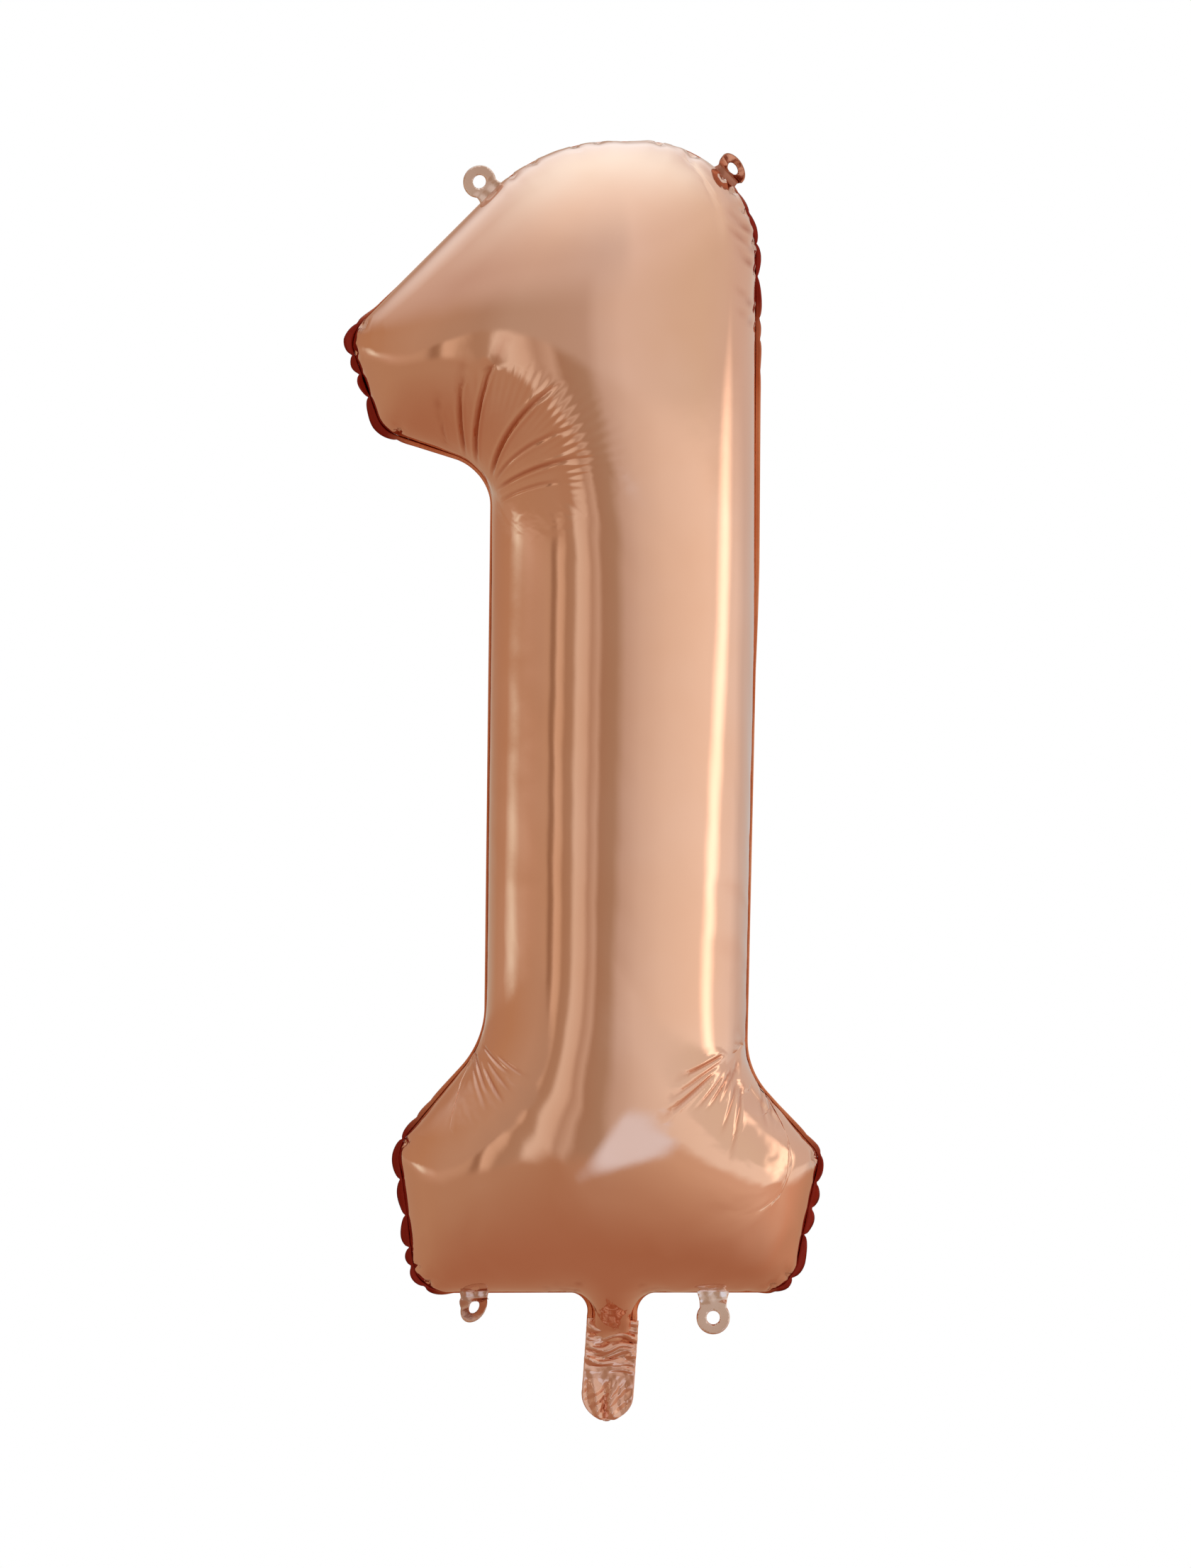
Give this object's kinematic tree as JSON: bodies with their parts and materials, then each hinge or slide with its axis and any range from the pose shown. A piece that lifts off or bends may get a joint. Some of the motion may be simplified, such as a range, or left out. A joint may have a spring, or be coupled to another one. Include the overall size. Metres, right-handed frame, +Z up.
{
  "type": "foil number balloon",
  "caption": "Inflated foil number balloon shaped as a figure one, in mirror rose gold film, with punched hanging tabs on the seam and a flat filling tail.",
  "frame": {"origin": "midway between the holes of the two upper tabs, in the seam plane, on the line of the ribbon that carries it", "axes": "+Z up, -Y towards the front of the figure, +X to the viewer's right, the seam plane is XZ"},
  "size_m": [0.3559, 0.218, 0.9588],
  "materials": {
    "front_foil": "rose gold metallised film, mirror gloss, fine creases at the seam",
    "rear_foil": "rose gold metallised film, mirror gloss, fine creases at the seam",
    "fused_edge": "heat sealed edge of both films, puckered",
    "tab_foil": "flat fused film, glossy",
    "tail_foil": "flat crinkled film, glossy",
    "valve_film": "clear polyethylene film"
  },
  "bodies": {
    "envelope": {"front_panel": "front_foil", "rear_panel": "rear_foil", "edge_seal": "fused_edge", "valve_front_film": "valve_film", "valve_rear_film": "valve_film"},
    "upper_left_tab": {"tab_upper_left": "tab_foil"},
    "upper_right_tab": {"tab_upper_right": "tab_foil"},
    "lower_left_tab": {"tab_lower_left": "tab_foil"},
    "lower_right_tab": {"tab_lower_right": "tab_foil"},
    "filling_tail": {"tail_front_ply": "tail_foil", "tail_rear_ply": "tail_foil", "tail_left_seam": "fused_edge", "tail_right_seam": "fused_edge"}
  },
  "joints": [
    {"name": "upper_left_tab_fold", "type": "hinge", "parent": "envelope", "child": "upper_left_tab", "pos_m": [-0.08951, 0, -0.00989], "axis": [0.7071, 0, 0.7071], "range_deg": [-75, 75], "stiffness_Nm_per_rad": 0.0005},
    {"name": "upper_right_tab_fold", "type": "hinge", "parent": "envelope", "child": "upper_right_tab", "pos_m": [0.0918, 0, 0.00181], "axis": [0.6884, 0, -0.7254], "range_deg": [-120, 25], "stiffness_Nm_per_rad": 0.0005},
    {"name": "lower_left_tab_fold", "type": "hinge", "parent": "envelope", "child": "lower_left_tab", "pos_m": [-0.0986, 0, -0.8383], "axis": [-1, 0, 0], "range_deg": [-105, 35], "stiffness_Nm_per_rad": 0.0005},
    {"name": "lower_right_tab_fold", "type": "hinge", "parent": "envelope", "child": "lower_right_tab", "pos_m": [0.0798, 0, -0.8383], "axis": [-1, 0, 0], "range_deg": [-75, 75], "stiffness_Nm_per_rad": 0.0005},
    {"name": "tail_fold", "type": "hinge", "parent": "envelope", "child": "filling_tail", "pos_m": [0.00336, 0, -0.8769], "axis": [-0.9976, 0, 0.0698], "range_deg": [-90, 90], "stiffness_Nm_per_rad": 0.0005}
  ]
}
